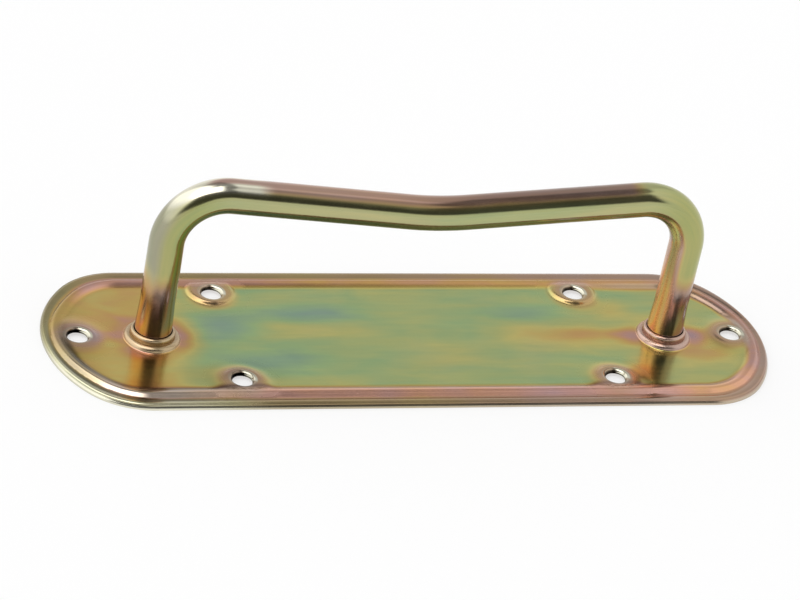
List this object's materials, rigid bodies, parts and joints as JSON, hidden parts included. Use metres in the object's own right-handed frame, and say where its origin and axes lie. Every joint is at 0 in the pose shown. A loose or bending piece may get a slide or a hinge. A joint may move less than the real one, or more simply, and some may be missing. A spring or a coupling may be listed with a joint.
{
  "type": "plate handle",
  "caption": "Fixed pull handle: a round steel bar bent into a dipped bridge, riveted to a pressed plate with rounded ends, raised rim and countersunk screw holes.",
  "frame": {"origin": "middle of the plate's back face, on the mounting surface", "axes": "+X along the plate, +Y across it, +Z away from the mounting surface towards the grip"},
  "size_m": [0.26, 0.08, 0.0643],
  "materials": {
    "plate_zinc": "glossy yellow zinc plate with green, gold and pink iridescence",
    "rod_zinc": "glossy yellow zinc plate with green, gold and pink iridescence"
  },
  "bodies": {
    "root": {"back_plate": "plate_zinc", "handle_rod": "rod_zinc"}
  },
  "joints": []
}
